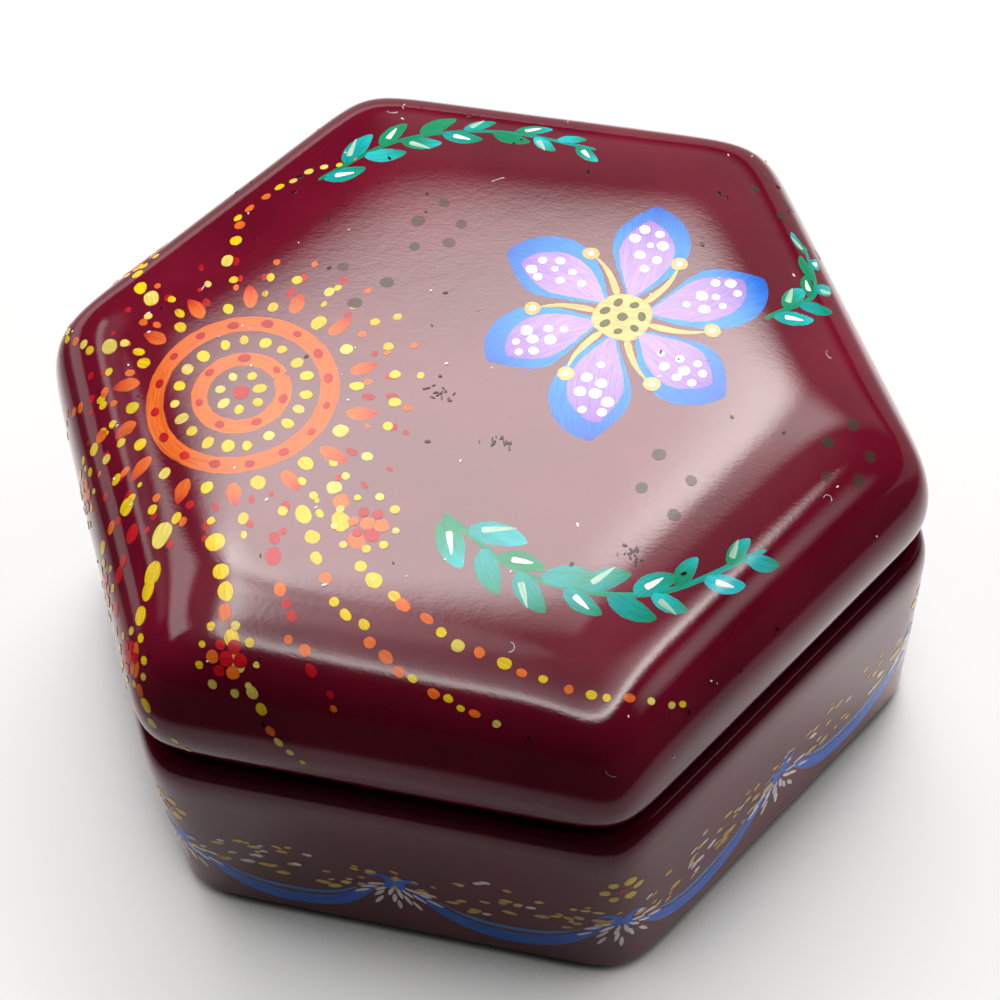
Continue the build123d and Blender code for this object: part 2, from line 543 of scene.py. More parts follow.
def paint_material():
    """Thin satin paint, streaked along each stroke, with the maroon showing where it is thin."""
    made, nodes = material("painted_motif")
    place = nodes.add("ShaderNodeTexCoord").outputs["Object"]
    tint = nodes.add("ShaderNodeAttribute", attribute_name="tint").outputs
    strand = nodes.add("ShaderNodeAttribute", attribute_name="strand").outputs["Vector"]
    streak = nodes.noise(strand, 1.0, 3, 0.6, stretch=(0.35, 4.5, 1.0))
    patch = nodes.noise(strand, 1.0, 2, 0.5, stretch=(0.6, 0.9, 1.0))
    shade = nodes.ramp(streak, 0.25, 0.75, 0.78, 1.16)
    shaded = nodes.add("ShaderNodeVectorMath", {0: tint["Color"], "Scale": shade}, operation="SCALE")
    thick = nodes.math("ADD", nodes.times(streak, 0.6), nodes.times(patch, 0.4))
    thick = nodes.math("ADD", thick, nodes.times(tint["Alpha"], 0.9))
    cover = nodes.ramp(thick, 0.50, 1.05, 0.15, 1.0)
    colour = nodes.mix(cover, UNDER_PAINT, shaded.outputs[0])
    nodes.surface(coated(nodes, colour, place, 1.0, *PAINT_COAT))
    return made


GLAZE = glaze_material()
CLAY = clay_material()
PAINT = paint_material()


def pigment(red, green, blue):
    """A paint's colour, from the usual 0 to 255 scale."""
    return tuple((channel / 255) ** 2.2 for channel in (red, green, blue))


LILAC = pigment(142, 104, 186)
PALE_LILAC = pigment(176, 146, 205)
SKY = pigment(58, 138, 214)
DEEP_BLUE = pigment(22, 84, 178)
WHITE = pigment(226, 224, 218)
CREAM = pigment(196, 174, 108)
OLIVE = pigment(84, 84, 40)
ORANGE = pigment(206, 96, 34)
YELLOW = pigment(206, 174, 22)
PALE_YELLOW = pigment(200, 182, 84)
RED = pigment(168, 24, 30)
TEAL = pigment(22, 140, 138)
TURQUOISE = pigment(40, 168, 176)
GREEN = pigment(20, 122, 84)
DARK_GREEN = pigment(34, 56, 44)
PALE_GREEN = pigment(150, 184, 160)
OCHRE = pigment(216, 178, 74)
GARLAND_BLUE = pigment(48, 110, 214)
GREY_WHITE = pigment(236, 226, 230)
SOOT = pigment(26, 16, 20)

# Thickness of the paint, in millimetres. Marks of a higher layer lie on those of a lower one.
PAINT_DIP = -0.02
PAINT_FILM = 0.020
PAINT_LAYER = 0.018
TURNS = 7
# How thick the paint of a dot is at each share of its radius, and how well a stroke's edge covers
DOT_PROFILE = [(0.02, 1.0), (0.7, 1.0), (0.88, 0.8), (0.98, 0.5), (1.03, 0.0)]
THIN_EDGE = 0.45


class Brushwork:
    """Painted marks on one piece, drawn in millimetres on its plan and gathered in one mesh."""

    def __init__(self, name, plan, body):
        self.name, self.plan, self.body = name, plan, body
        self.places, self.heights, self.tints, self.strands, self.faces = [], [], [], [], []
        self.marks = 0

    def film(self, layer):
        """How high the next mark lies: marks of one layer take turns, so that none shares its height."""
        self.marks += 1
        return PAINT_FILM + PAINT_LAYER * (layer + self.marks % TURNS / (TURNS + 1))

    def patch(self, grid, closed):
        """Adds rows of (place, height, tint, strand), each row's end joined to its start or not."""
        self.faces += grid_faces(len(grid), len(grid[0]), len(self.places), closed)
        chance = uniform(0, 900)
        for row in grid:
            for place, height, tint, (along, across) in row:
                self.places.append(place)
                self.heights.append(height)
                self.tints.append(tint)
                self.strands.append((along, across, chance))

    def dot(self, place, radius, colour, layer=0, stretch=1.0, lean=0.0, cover=0.75):
        """A dab of a round brush: a low dome with an uneven outline."""
        around = max(12, min(28, int(radius * 24)))
        film = self.film(layer)
        lobes = [(count, uniform(0, 6.3), uniform(0, 0.12 / count)) for count in (2, 3, 4)]
        tone = uniform(0.86, 1.1)
        tinted = [channel * tone for channel in colour]
        grid = []
        for share, thickness in DOT_PROFILE:
            height = film if thickness > 0 else PAINT_DIP
            tint = (*tinted, cover * thickness)
            row = []
            for step in range(around):
                angle = 2 * math.pi * step / around
                uneven = 1 + sum(size * math.sin(count * angle + start) for count, start, size in lobes)
                along = radius * stretch * share * uneven * math.cos(angle)
                across = radius * share * uneven * math.sin(angle)
                u = place[0] + along * math.cos(lean) - across * math.sin(lean)
                v = place[1] + along * math.sin(lean) + across * math.cos(lean)
                row.append(((u, v), height, tint, (along, across)))
            grid.append(row)
        self.patch(grid, closed=True)

    def stroke(self, path, half_width, colour, layer=0, end_colour=None, cover=0.7, columns=7):
        """A brush stroke along a path. half_width is a function of the share of its length."""
        path = [Vector(point) for point in path]
        lengths = [0.0]
        for before, after in zip(path, path[1:]):
            lengths.append(lengths[-1] + (after - before).length)
        total = lengths[-1]
        end_colour = end_colour or colour
        tone = uniform(0.9, 1.08)
        ragged = uniform(0, 50)
        film = self.film(layer)
        grid = []
        for index, point in enumerate(path):
            ahead = path[min(index + 1, len(path) - 1)] - path[max(index - 1, 0)]
            side = Vector((-ahead.y, ahead.x)).normalized()
            share = lengths[index] / total
            turned = share ** 2
            mixed = [(a * (1 - turned) + b * turned) * tone for a, b in zip(colour, end_colour)]
            half = half_width(share)
            row = []
            for column in range(columns):
                across = 2 * column / (columns - 1) - 1
                rough = noise.noise(Vector((lengths[index] * 1.6, across * 2 + ragged, ragged)))
                reach = across * (half + min(half * 0.12, 0.12) * rough)
                at_edge = abs(across) == 1 or index in (0, len(path) - 1)
                height = PAINT_DIP if at_edge else film
                tint = (*mixed, cover * (THIN_EDGE if at_edge else 1))
                row.append((tuple(point + side * reach), height, tint, (lengths[index], reach)))
            grid.append(row)
        self.patch(grid, closed=False)

    def finish(self):
        """Wraps the marks onto their piece as one mesh that rides with it."""
        plan = np.array(self.places) * MM
        places, outward = self.plan.wrap(plan, np.array(self.heights) * MM)
        painted = mesh_object(self.name, places, self.faces)
        painted.data.normals_split_custom_set_from_vertices([tuple(normal) for normal in outward])
        tint = painted.data.attributes.new("tint", "FLOAT_COLOR", "POINT")
        tint.data.foreach_set("color", np.array(self.tints, np.float32).ravel())
        strand = painted.data.attributes.new("strand", "FLOAT_VECTOR", "POINT")
        strand.data.foreach_set("vector", np.array(self.strands, np.float32).ravel())
        painted.data.materials.append(PAINT)
        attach(painted, self.body)


def polar(centre, radius, angle):
    """The point this far from a centre in such a direction, in radians."""
    return (centre[0] + radius * math.cos(angle), centre[1] + radius * math.sin(angle))


def arc(centre, radius, start, end, steps):
    """Points of an arc, with angles in radians."""
    return [polar(centre, radius, start + (end - start) * step / steps) for step in range(steps + 1)]


def smooth_path(points, steps=10):
    """A smooth path through a few drawn points."""
    points = [Vector(point) for point in points]
    ends = [points[0] * 2 - points[1]] + points + [points[-1] * 2 - points[-2]]
    path = []
    for before, start, end, after in zip(ends, ends[1:], ends[2:], ends[3:]):
        for step in range(steps):
            t = step / steps
            path.append(
                0.5 * (2 * start + (end - before) * t + (2 * before - 5 * start + 4 * end - after) * t ** 2
                       + (3 * start - before - 3 * end + after) * t ** 3)
            )
    return path + [points[-1]]


def band(half, length):
    """Width of a stroke of even breadth with round ends."""
    def width(share):
        near_end = min(share, 1 - share) * length / half
        return half * math.sqrt(max(0.0, 1 - max(0.0, 1 - near_end) ** 2)) + 0.02
    return width


def leaf(half, fullest=0.5):
    """Width of a leaf or a petal, pointed at both ends."""
    power = math.log(0.5) / math.log(fullest)
    return lambda share: half * math.sin(math.pi * share ** power) ** 0.75 + 0.02 if 0 < share < 1 else 0.02


def comma(half):
    """Width of a dab that starts round and thins out."""
    def width(share):
        start = math.sqrt(max(0.0, 1 - max(0.0, 1 - share * 5) ** 2))
        return half * start * (1 - share ** 2) + 0.02
    return width


def petal_path(centre, inner, outer, angle, bend):
    """The middle line of a petal that leans to one side on its way out."""
    steps = 36
    path = []
    for step in range(steps + 1):
        share = 0.5 - 0.5 * math.cos(math.pi * step / steps)
        path.append(polar(centre, inner + (outer - inner) * share, angle + bend * share ** 2))
    return path


FLOWER_MIDDLE = (15.0, 8.0)
FLOWER_RADIUS = 16.5
PETALS = 6
# The white dots in a petal, each as (share of its length, turn off its middle line)
PETAL_DOTS = [
    (0.42, 0.0), (0.53, -0.11), (0.54, 0.10), (0.64, 0.0),
    (0.68, 0.16), (0.66, -0.15), (0.77, 0.06), (0.77, -0.07),
]
ROSETTE_MIDDLE = (-23.0, -10.0)
# The rosette's bands as (radius, half width, start), and its rings of dots as (radius, count, size)
BANDS = [(4.6, 1.0, 0.6), (9.6, 1.15, 2.9)]
DOT_RINGS = [(2.2, 7, 0.55), (7.1, 19, 0.62), (12.3, 14, 0.72), (16.6, 28, 0.5)]
DROPS = 14
RAYS = 28                        # rays of small flecks round it


def paint_flower(plan):
    """A lilac flower edged with blue, with white dots in its petals and a spotted cream middle."""
    brush = Brushwork("lid_flower", plan, "lid")
    for petal in range(PETALS):
        angle = 2 * math.pi * (petal + 0.35) / PETALS + uniform(-0.07, 0.07)
        reach = FLOWER_RADIUS * uniform(0.92, 1.05)
        bend = uniform(0.10, 0.22)
        outer = petal_path(FLOWER_MIDDLE, 2.2, reach, angle, bend)
        brush.stroke(outer, leaf(4.7, 0.60), SKY, 0, DEEP_BLUE, columns=13)
        inner = petal_path(FLOWER_MIDDLE, 2.6, reach * 0.86, angle + 0.02, bend)
        brush.stroke(inner, leaf(3.4, 0.60), PALE_LILAC, 1, LILAC, columns=13)
        for share, sideways in PETAL_DOTS:
            place = polar(FLOWER_MIDDLE, reach * share, angle + bend * share ** 2 * 1.3 + sideways)
            place = (place[0] + uniform(-0.25, 0.25), place[1] + uniform(-0.25, 0.25))
            brush.dot(place, uniform(0.42, 0.72), WHITE, 3, cover=0.95)
        gap = angle + math.pi / PETALS
        stalk = petal_path(FLOWER_MIDDLE, 3.0, FLOWER_RADIUS * 0.60, gap, 0.18)
        brush.stroke(stalk, comma(0.45), CREAM, 1)
        brush.dot(stalk[-1], 0.95, CREAM, 2)
        brush.dot(stalk[-1], 0.38, WHITE, 3)
    brush.dot(FLOWER_MIDDLE, 3.3, CREAM, 2, cover=0.9)
    for spot in range(7):
        place = polar(FLOWER_MIDDLE, 2.1, 2 * math.pi * spot / 7 + 0.2)
        brush.dot(place, uniform(0.36, 0.5), OLIVE, 4, 1.4, uniform(0, 3))
    brush.dot(FLOWER_MIDDLE, 0.6, OLIVE, 4)
    brush.finish()


def paint_rosette(plan):
    """Orange rings with red spots, set about with rings of yellow dots."""
    brush = Brushwork("lid_rosette", plan, "lid")
    for radius, half, start in BANDS:
        sweep = 2 * math.pi * 1.03
        path = arc(ROSETTE_MIDDLE, radius, start, start + sweep, int(radius * 9))
        brush.stroke(path, band(half, radius * sweep), ORANGE, 0, cover=0.62, columns=9)
        spots = int(radius * 1.7)
        for spot in range(spots):
            place = polar(ROSETTE_MIDDLE, radius + uniform(-0.15, 0.15), 2 * math.pi * spot / spots)
            lean = 2 * math.pi * spot / spots + math.pi / 2
            brush.dot(place, uniform(0.38, 0.58), RED, 2, 1.25, lean, cover=0.6)
    for drop in range(DROPS):
        angle = 2 * math.pi * drop / DROPS + uniform(-0.04, 0.04)
        path = petal_path(ROSETTE_MIDDLE, 11.9, 15.2 + uniform(-0.4, 0.5), angle, 0.03)
        brush.stroke(path, leaf(0.95, 0.42), ORANGE, 0, RED, cover=0.6)
    for radius, count, size in DOT_RINGS:
        for step in range(count):
            angle = 2 * math.pi * (step + 0.5) / count + uniform(-0.03, 0.03)
            place = polar(ROSETTE_MIDDLE, radius + uniform(-0.25, 0.25), angle)
            colour = choice((YELLOW, YELLOW, YELLOW, PALE_YELLOW))
            brush.dot(place, size * uniform(0.8, 1.2), colour, 1, uniform(1, 1.35), angle)
    brush.dot(ROSETTE_MIDDLE, 0.9, RED, 1)
    for ray in range(RAYS):
        for fleck in range(3):
            turn = 2 * math.pi * (ray + uniform(0.3, 0.7)) / RAYS
            place = polar(ROSETTE_MIDDLE, 14.4 + 2.3 * fleck + uniform(-0.8, 0.8), turn)
            colour = choice((RED, RED, ORANGE, YELLOW))
            brush.dot(place, uniform(0.28, 0.52), colour, 0, uniform(1, 1.6), turn, cover=0.55)
    brush.finish()


def paint_trail(brush, points, size, colours, spread):
    """A trail of dots that thins out towards its end."""
    path = smooth_path(points, 24)
    walked = 0.0
    gap = 0.0
    for before, after in zip(path, path[1:]):
        walked += (after - before).length
        if walked < gap:
            continue
        walked = 0.0
        share = path.index(after) / len(path)
        radius = size * (1 - 0.55 * share) * uniform(0.75, 1.2)
        gap = radius * 2 + uniform(0.5, 1.3)
        sideways = Vector((random.gauss(0, spread), random.gauss(0, spread)))
        place = after + sideways * (1 - 0.4 * share)
        lean = math.atan2((after - before).y, (after - before).x)
        brush.dot(tuple(place), radius, choice(colours), 1, uniform(1, 1.5), lean)


WARM = (YELLOW, YELLOW, PALE_YELLOW, ORANGE)
HOT = (RED, RED, ORANGE)
# The trails, each as (points, radius of the first dots, colours, spread)
TRAILS = [
    ([(-10, -20), (-4, -29), (6, -35), (19, -38), (32, -36)], 0.9, WARM, 0.35),
    ([(-12, -24), (-6, -33), (4, -40), (14, -43)], 0.8, WARM, 0.4),
    ([(-20, -28), (-16, -38), (-12, -47), (-9, -53)], 1.0, WARM, 0.5),
    ([(-26, -28), (-27, -38), (-27, -47), (-25, -54)], 1.0, WARM, 0.5),
    ([(-33, -24), (-38, -31), (-40, -37)], 0.9, WARM, 0.5),
    ([(-38, -16), (-45, -19), (-50, -21)], 0.8, WARM, 0.45),
    ([(-40, -6), (-47, -3), (-52, 2)], 0.8, WARM, 0.45),
    ([(-38, 1), (-42, 8), (-42, 16), (-38, 23)], 0.8, WARM, 0.4),
    ([(-30, 8), (-31, 16), (-26, 23), (-18, 27)], 0.7, WARM, 0.3),
    ([(-15, -27), (-10, -37), (-3, -45)], 0.8, HOT, 0.6),
    ([(-31, -28), (-33, -37), (-33, -46)], 0.8, HOT, 0.6),
    ([(-39, -11), (-47, -11), (-53, -12)], 0.7, HOT, 0.5),
]
CLUSTERS = [(-16, -41), (-37, -34), (-44, 10), (-43, -22), (-29, -42), (-5, -24)]


def paint_trails(plan):
    """Trails of yellow, orange and red dots that run over the lid's edge, and clusters of berries."""
    brush = Brushwork("lid_trails", plan, "lid")
    for points, size, colours, spread in TRAILS:
        paint_trail(brush, points, size, colours, spread)
    for middle in CLUSTERS:
        for petal in range(7):
            place = polar(middle, 1.5 if petal else 0, petal * 1.05)
            brush.dot(place, uniform(0.55, 0.85), choice((RED, RED, ORANGE)), 2, cover=0.6)
        for berry in range(9):
            place = polar(middle, 3.2 + uniform(-0.3, 0.4), berry * 0.7 + uniform(-0.1, 0.1))
            brush.dot(place, uniform(0.35, 0.55), choice((YELLOW, PALE_YELLOW)), 2, cover=0.7)
    brush.finish()


def paint_sprig(brush, points, leaf_length, leaves):
    """A stem with leaves on both sides in turn, touched up with white dabs."""
    path = smooth_path(points, 14)
    brush.stroke(path, band(0.32, 30), GREEN, 0, TEAL)
    for number in range(leaves):
        share = (number + 0.6) / leaves
        index = min(int(share * (len(path) - 2)), len(path) - 2)
        root, ahead = path[index], path[index + 1] - path[index]
        side = 1 if number % 2 else -1
        lean = math.atan2(ahead.y, ahead.x) + side * uniform(0.6, 0.85)
        length = leaf_length * (1.05 - 0.4 * share) * uniform(0.88, 1.12)
        line = [polar(root, length * step / 12, lean - side * 0.25 * step / 12) for step in range(13)]
        colour = choice((TEAL, TEAL, TURQUOISE, GREEN))
        brush.stroke(line, leaf(length * 0.24, 0.45), colour, 1, choice((TURQUOISE, GREEN)))
        if number % 3 == 0:
            dab = [polar(root, length * (0.25 + 0.5 * step / 8), lean - side * 0.12) for step in range(9)]
            brush.stroke(dab, comma(0.42), WHITE, 3, cover=0.85)
        elif number % 3 == 1:
            dab = [polar(root, length * (0.2 + 0.6 * step / 8), lean + side * 0.05) for step in range(9)]
            brush.stroke(dab, comma(0.45), PALE_GREEN, 3, cover=0.7)


# The sprigs as (points, length of a leaf, leaves), and the groups of dark dots as (middle, count)
SPRIGS = [
    ([(2, -21), (13, -27), (25, -26), (36, -17)], 6.2, 15),
    ([(-24, 22), (-16, 30), (-5, 34), (7, 33)], 5.8, 13),
    ([(30, 11), (35, 18), (33, 27)], 5.0, 8),
]
DOT_GROUPS = [((-8, 17), 5), ((-14, 7), 3), ((28, 33), 4), ((42, -4), 5), ((24, -13), 4)]


def paint_sprigs(plan):
    """Teal leaf sprigs, and groups of dark green dots."""
    brush = Brushwork("lid_sprigs", plan, "lid")
    for points, leaf_length, leaves in SPRIGS:
        paint_sprig(brush, points, leaf_length, leaves)
    for middle, count in DOT_GROUPS:
        for dot in range(count):
            place = polar(middle, 2.6 + 1.2 * (dot % 2), dot * 2 * math.pi / count + 0.4)
            brush.dot(place, uniform(0.6, 0.85), DARK_GREEN, 1, cover=0.35)
    brush.finish()


SWAGS_PER_SIDE = 2
SWAG_REACH = 0.43                # how far a swag's ends lie from its middle, over its room
BOW_RADIUS = 1.3
BLOSSOM_HEIGHT = 21


def paint_garland(plan):
    """Round the base: blue swags, fans of white dashes where they meet, and sprays of ochre dots."""
    brush = Brushwork("base_garland", plan, "base")
    swag = plan.side / MM / SWAGS_PER_SIDE
    for number in range(SIDES * SWAGS_PER_SIDE):
        middle = (number + 0.5) * swag
        ends = 12.5 + uniform(-0.5, 0.5)
        low = 5.4 + uniform(-0.4, 0.4)
        points = [
            (middle - swag * SWAG_REACH, ends), (middle - swag * 0.22, low + 1.6), (middle, low),
            (middle + swag * 0.22, low + 1.7), (middle + swag * SWAG_REACH, ends),
        ]
        path = smooth_path(points, 12)
        brush.stroke(path, leaf(1.4), GARLAND_BLUE, 0, cover=0.8, columns=9)
        upper = [(u, v + 2.4 - 1.6 * abs(u - middle) / swag) for u, v in path[6:-6]]
        brush.stroke(upper, leaf(0.5), SKY, 0, cover=0.6, columns=5)
        for turn in (-1, 1):
            centre = (middle + turn * swag * SWAG_REACH, ends + BOW_RADIUS)
            bow = arc(centre, BOW_RADIUS, -math.pi / 2, -math.pi / 2 + turn * 4.2, 16)
            brush.stroke(bow, comma(0.75), GARLAND_BLUE, 1, cover=0.8)
        join = middle + swag / 2
        for dash in range(17):
            lean = math.radians(-90 + (dash - 8) * 9 + uniform(-3, 3))
            root = polar((join, ends + 1.0), 1.0 + 1.5 * (dash % 3), lean)
            line = [polar(root, uniform(2.4, 2.8) * step / 7, lean) for step in range(8)]
            brush.stroke(line, leaf(0.30), GREY_WHITE, 1, cover=0.8, columns=5)
        for dot in range(48):
            sideways = uniform(-0.5, 0.5)
            above = random.random() ** 1.4
            height = low + 4.6 + 12 * sideways ** 2 + 9.5 * above * (1 - 1.2 * abs(sideways))
            colour = choice((OCHRE, OCHRE, OCHRE, CREAM, CREAM, GREY_WHITE))
            radius = uniform(0.26, 0.5) * (1 - 0.25 * above)
            stretch, lean = uniform(1.3, 2.4), random.gauss(0.1, 0.25)
            brush.dot((middle + sideways * swag, height), radius, colour, 0, stretch, lean, cover=0.55)
        if number % 2:
            for dot in range(6):
                place = polar((join, BLOSSOM_HEIGHT), 1.9, dot * math.pi / 3)
                brush.dot(place, uniform(0.6, 0.8), OCHRE, 1, cover=0.8)
            brush.dot((join, BLOSSOM_HEIGHT), 0.6, RED, 1)
    brush.finish()


SCUFFS = [(6, -11), (-2, -6), (22, -22)]


def paint_specks(plan):
    """Small scuffs, dust and a few fibres that lie on the lid."""
    brush = Brushwork("lid_specks", plan, "lid")

    def anywhere(reach):
        return polar((0, 0), reach * math.sqrt(random.random()), uniform(0, 2 * math.pi))

    def speck(place, sizes, colour, stretches, cover=0.75):
        radius, stretch = uniform(*sizes), uniform(*stretches)
        brush.dot(place, radius, colour, 4, stretch, uniform(0, 3), cover)

    for count in range(46):
        speck(anywhere(50), (0.08, 0.2), SOOT, (1, 2.5))
    for count in range(60):
        speck(anywhere(54), (0.05, 0.11), GREY_WHITE, (1, 3))
    for middle in SCUFFS:
        for scratch in range(16):
            place = (middle[0] + random.gauss(0, 0.8), middle[1] + random.gauss(0, 0.5))
            speck(place, (0.06, 0.13), SOOT, (1.5, 4), 0.6)
    for fibre in range(12):
        place = Vector(anywhere(52))
        lean, turn = uniform(0, 6.3), uniform(-0.25, 0.25)
        line = [place]
        for step in range(14):
            line.append(Vector(polar(line[-1], 0.12, lean + turn * step)))
        brush.stroke(line, band(0.03, 2), GREY_WHITE, 4, columns=3, cover=0.3)
    brush.finish()


def build_lid():
    """The glazed lid. Returns its skin."""
    skin = Skin(lid_outline(), lid_wave)
    lid = closed_mesh("lid_glaze", list(skin.points) + lid_inside())
    lid.data.materials.append(GLAZE)
    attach(lid, "lid")
    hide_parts("lid")
    return skin


def build_base():
    """The glazed base with its bare foot. Returns its skin."""
    skin = Skin(base_outline(), base_wave)
    rings = base_inside() + list(skin.points) + base_underside()
    base = closed_mesh("base_glaze", rings)
    base.data.materials.append(GLAZE)
    base.data.materials.append(CLAY)
    for face in base.data.polygons:
        if face.center.z < FOOT_LEVEL:
            face.material_index = 1
    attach(base, "base")
    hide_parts("base")
    return skin


def build_camera():
    """The camera at the photograph's view."""
    data = bpy.data.cameras.new("camera")
    data.lens = CAMERA_LENS
    data.sensor_width = SENSOR
    data.clip_start = 0.01
    camera = bpy.data.objects.new("camera", data)
    bpy.context.scene.collection.objects.link(camera)
    look = (CAMERA_AIM - CAMERA_PLACE).to_track_quat("-Z", "Y").to_matrix()
    roll = Matrix.Rotation(CAMERA_ROLL, 3, "Z")
    camera.matrix_world = Matrix.Translation(CAMERA_PLACE) @ (look @ roll).to_4x4()
    bpy.context.scene.camera = camera


# The studio's lit panels, as (azimuth, half width, elevation, half height, slope, soft edge, brightness),
# in degrees. Azimuth 90 is behind the box, -90 on the camera's side. A panel's slope is how far its
# elevation rises with each degree of azimuth.
PANELS = [
    (112, 33, 57.0, 10.6, 0.13, 5.2, 6.7),
    (74, 20, 54.0, 9.5, 0.13, 7.0, 3.0),
    (122, 44, 71.0, 4.5, 0.0, 5.0, 1.5),
    (184, 28, 43.0, 7.5, 0.0, 3.2, 2.4),
    (161, 12, 19.5, 2.6, 0.0, 1.8, 1.6),
    (165, 22, 27.0, 5.0, 0.0, 4.0, 0.35),
    (80, 32, 25.0, 16.0, 0.0, 6.0, 0.35),
    (-3, 7, 24.0, 7.0, 0.0, 5.0, 1.2),
]
LIGHT_COLOUR = (1.0, 0.985, 0.965)
BACKDROP = (0.93, 0.93, 0.925, 1)
ZENITH_FILL = 0.40
MATTE_SHARE = 0.35               # share of the panels' light that falls on matte surfaces

# A strip of light behind the camera, as (azimuth, elevation, brightness) along its middle
STRIP = [
    (-226, 57.0, 0.0), (-216, 60.5, 4.5), (-206, 65.5, 6.6), (-193, 68.5, 6.8), (-180, 69.5, 6.8),
    (-168, 69.0, 6.8), (-155, 67.5, 6.6), (-145, 64.5, 6.2), (-135, 59.5, 5.6), (-120, 55.0, 5.0),
    (-105, 51.5, 5.4), (-80, 49.5, 5.6), (-60, 48.0, 7.4), (-20, 46.0, 8.8), (5, 45.0, 8.6), (17, 46.0, 0.0),
]
STRIP_BELOW = 2.8                # softness of the strip's lower edge, in degrees
STRIP_ABOVE = 3.8
HAZE_ABOVE = 14.0
HAZE = 0.28                      # share of its brightness that lies in the haze over it
STRIP_HEIGHTS = np.arange(-6, 28)
STRIP_STEP = 2.0
STUDIO_REACH = 2.4

# Soft lamps that the gloss doesn't show, as (azimuth, elevation, brightness on a white card)
LAMPS = [(95, 52, 1.22), (156, 24, 0.44), (28, 28, 0.46)]
LAMP_SOFTNESS = math.radians(50)

# The table. A pair of places is where a change starts and ends, in metres.
TABLE_REACH = 3.0
TABLE_WHITE = ((0.69, 0.687, 0.68, 1), (0.72, 0.717, 0.71, 1))
TABLE_SHADE = 0.90               # how much of its white the camera sees
CONTACT = (0.40, 0.62)           # openness at which the painted contact shadow under the foot starts and ends
CONTACT_SHADE = 0.3
CONTACT_REACH = 0.02
# What matte surfaces see of it: painted shade, darker in front of the box
FRONT_SHADE = (-0.060, -0.025)
FRONT_GREY = (0.34, 0.34, 0.34, 1)
# What the gloss shows of it, a painted reflection: white within WHITE_END of WHITE_MIDDLE, then grey, then
# dark
WHITE_MIDDLE = (-0.005, 0.035, 0.0)
WHITE_END = 0.076
GREY_START = 0.116
GREY_END = 0.136
GLOSS_GREY = (0.225, 0.205, 0.22, 1)
DARK_FRONT = (0.012, 0.012, 0.012, 1)
DARK_BACK = (0.15, 0.15, 0.15, 1)
DARK_TURN = (0.04, 0.08)
FAR_LEFT = (0.4, 0.4, 0.4, 1)
FAR_LEFT_X = (-0.19, -0.25)
FAR_LEFT_Y = (-0.05, 0)
# For the camera alone the table is lifted to white, all the way at the end of these places. Where it is
# closed in next to the foot it is lifted less, which paints shade there.
TABLE_LIFT = 0.45
LIFT_PLACES = (0.05, 0.25)
LIFT_OPENNESS = (0.35, 0.85)
LIFTED_WHITE = (1.0, 0.998, 0.992, 1)


def build_studio():
    """A dark studio with soft lit panels all round, as directions on the world's sky."""
    world = bpy.data.worlds.new("studio")
    world.use_nodes = True
    bpy.context.scene.world = world
    nodes = Nodes(world.node_tree)
    direction = nodes.add("ShaderNodeTexCoord").outputs["Generated"]
    height = nodes.split(direction)[2]
    elevation = nodes.times(nodes.math("ARCSINE", height), math.degrees(1))
    total = nodes.ramp(height, 0.6, 1.0, 0, ZENITH_FILL)
    for azimuth, half_width, level, half_height, slope, edge, brightness in PANELS:
        turn = {"Vector": direction, "Angle": -math.radians(azimuth)}
        turned = nodes.add("ShaderNodeVectorRotate", turn, rotation_type="Z_AXIS").outputs["Vector"]
        x, y, _ = nodes.split(turned)
        sideways = nodes.times(nodes.math("ARCTAN2", y, x), math.degrees(1))
        across = nodes.ramp(nodes.math("ABSOLUTE", sideways), half_width - edge, half_width + edge, 1, 0)
        middle = nodes.math("MULTIPLY_ADD", sideways, slope, level)
        upward = nodes.math("ABSOLUTE", nodes.math("SUBTRACT", elevation, middle))
        inside = nodes.ramp(upward, half_height - edge, half_height + edge, 1, 0)
        glow = nodes.times(nodes.times(across, inside), brightness)
        total = nodes.math("ADD", total, glow)
    path = nodes.add("ShaderNodeLightPath").outputs
    strength = nodes.times(total, nodes.ramp(path["Is Diffuse Ray"], 0, 1, 1, MATTE_SHARE))
    sky = nodes.add("ShaderNodeBackground", {"Color": (*LIGHT_COLOUR, 1), "Strength": strength})
    backdrop = nodes.add("ShaderNodeBackground", {"Color": BACKDROP})
    sockets = {0: path["Is Camera Ray"], 1: sky.outputs[0], 2: backdrop.outputs[0]}
    nodes.surface(nodes.add("ShaderNodeMixShader", sockets).outputs[0], "ShaderNodeOutputWorld")


def towards(azimuth, elevation):
    """The direction at such an azimuth and elevation, both in degrees."""
    turn, rise = math.radians(azimuth), math.radians(elevation)
    return Vector((math.cos(turn) * math.cos(rise), math.sin(turn) * math.cos(rise), math.sin(rise)))


def strip_glow(above, brightness):
    """How bright the strip is this many degrees above its middle: a soft core with a haze over it."""
    core = math.exp(-(above / (STRIP_ABOVE if above > 0 else STRIP_BELOW)) ** 2)
    haze = math.exp(-(above / (HAZE_ABOVE if above > 0 else STRIP_BELOW)) ** 2)
    return brightness * ((1 - HAZE) * core + HAZE * haze)


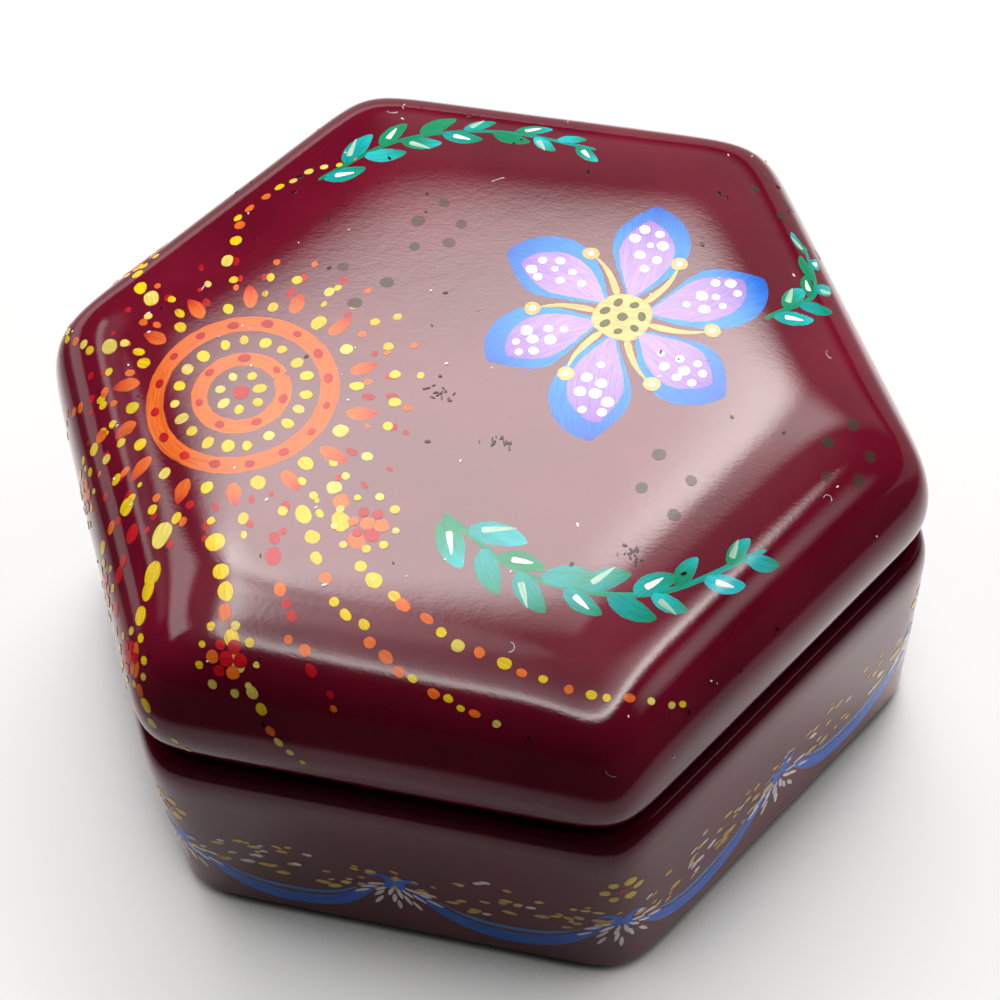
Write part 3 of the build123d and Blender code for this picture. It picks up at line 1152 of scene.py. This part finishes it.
def build_strip():
    """The strip of light behind the camera, which shows in the gloss and lights nothing."""
    azimuths, elevations, strengths = zip(*STRIP)
    turns = np.arange(azimuths[0], azimuths[-1] + 1, STRIP_STEP)
    vertices, glows = [], []
    for turn in turns:
        middle = np.interp(turn, azimuths, elevations)
        brightness = np.interp(turn, azimuths, strengths)
        for above in STRIP_HEIGHTS:
            vertices.append(towards(turn, middle + above) * STUDIO_REACH)
            glows.append(strip_glow(above, brightness))
    strip = mesh_object("strip_light", vertices, grid_faces(len(turns), len(STRIP_HEIGHTS)))
    strip.data.attributes.new("glow", "FLOAT", "POINT").data.foreach_set("value", glows)
    made, nodes = material("strip_light")
    glow = nodes.add("ShaderNodeAttribute", attribute_name="glow").outputs["Fac"]
    light = nodes.add("ShaderNodeEmission", {"Color": (*LIGHT_COLOUR, 1), "Strength": glow})
    clear = nodes.add("ShaderNodeBsdfTransparent")
    both = nodes.add("ShaderNodeAddShader", {0: light.outputs[0], 1: clear.outputs[0]})
    nodes.surface(both.outputs[0])
    strip.data.materials.append(made)
    strip.visible_camera = False
    strip.visible_diffuse = False
    strip.visible_shadow = False


def build_lamps():
    """Soft lamps that light the box and its shadow, but don't show in the gloss."""
    for number, (azimuth, elevation, brightness) in enumerate(LAMPS):
        data = bpy.data.lights.new(f"lamp_{number + 1}", "SUN")
        data.energy = brightness * math.pi
        data.angle = LAMP_SOFTNESS
        data.color = LIGHT_COLOUR
        lamp = bpy.data.objects.new(data.name, data)
        lamp.rotation_euler = towards(azimuth, elevation).to_track_quat("Z", "Y").to_euler()
        lamp.visible_glossy = False
        bpy.context.scene.collection.objects.link(lamp)


def build_table():
    """The white table, which keeps the box's shadow."""
    corners = [(-1, -1), (1, -1), (1, 1), (-1, 1)]
    vertices = [(x * TABLE_REACH, y * TABLE_REACH, 0) for x, y in corners]
    table = mesh_object("table", vertices, [(0, 1, 2, 3)], smooth=False)
    made, nodes = material("white_table")
    place = nodes.add("ShaderNodeTexCoord").outputs["Object"]
    x, y, _ = nodes.split(place)
    path = nodes.add("ShaderNodeLightPath").outputs
    seen = path["Is Camera Ray"]
    white = nodes.mix(nodes.noise(place, 30, 3, 0.5), *TABLE_WHITE)

    apart = {0: place, 1: WHITE_MIDDLE}
    away = nodes.add("ShaderNodeVectorMath", apart, operation="DISTANCE").outputs["Value"]
    dark = nodes.mix(nodes.ramp(y, *DARK_TURN), DARK_FRONT, DARK_BACK)
    far_left = nodes.times(nodes.ramp(x, *FAR_LEFT_X), nodes.ramp(y, *FAR_LEFT_Y))
    dark = nodes.mix(far_left, dark, FAR_LEFT)
    in_gloss = nodes.mix(nodes.ramp(away, WHITE_END, GREY_START), white, GLOSS_GREY)
    in_gloss = nodes.mix(nodes.ramp(away, GREY_START, GREY_END), in_gloss, dark)

    # Painted contact shadow: the table darkens where it is closed in next to the foot
    openness = nodes.add("ShaderNodeAmbientOcclusion", {"Distance": CONTACT_REACH}).outputs["AO"]
    contact = nodes.ramp(openness, *CONTACT, CONTACT_SHADE, 1)
    contact = nodes.times(contact, nodes.ramp(seen, 0, 1, 1, TABLE_SHADE))
    white = nodes.mix(contact, (0, 0, 0, 1), white)
    front = nodes.times(path["Is Diffuse Ray"], nodes.ramp(y, *FRONT_SHADE, 1, 0))
    white = nodes.mix(front, white, FRONT_GREY)
    colour = nodes.mix(path["Is Glossy Ray"], white, in_gloss)

    behind = nodes.ramp(y, *LIFT_PLACES, TABLE_LIFT, 1)
    lift = nodes.times(nodes.ramp(openness, *LIFT_OPENNESS), behind)
    matte = nodes.add("ShaderNodeBsdfDiffuse", {"Color": colour})
    glow = nodes.add("ShaderNodeEmission", {"Color": LIFTED_WHITE})
    sockets = {0: nodes.times(seen, lift), 1: matte.outputs[0], 2: glow.outputs[0]}
    nodes.surface(nodes.add("ShaderNodeMixShader", sockets).outputs[0])
    table.data.materials.append(made)


bpy.context.scene.view_settings.view_transform = "Standard"
random.seed(5)
build_camera()
build_studio()
build_strip()
build_lamps()
build_table()
lid_plan = LidPlan(build_lid())
base_plan = BasePlan(build_base())
paint_flower(lid_plan)
paint_rosette(lid_plan)
paint_trails(lid_plan)
paint_sprigs(lid_plan)
paint_specks(lid_plan)
paint_garland(base_plan)
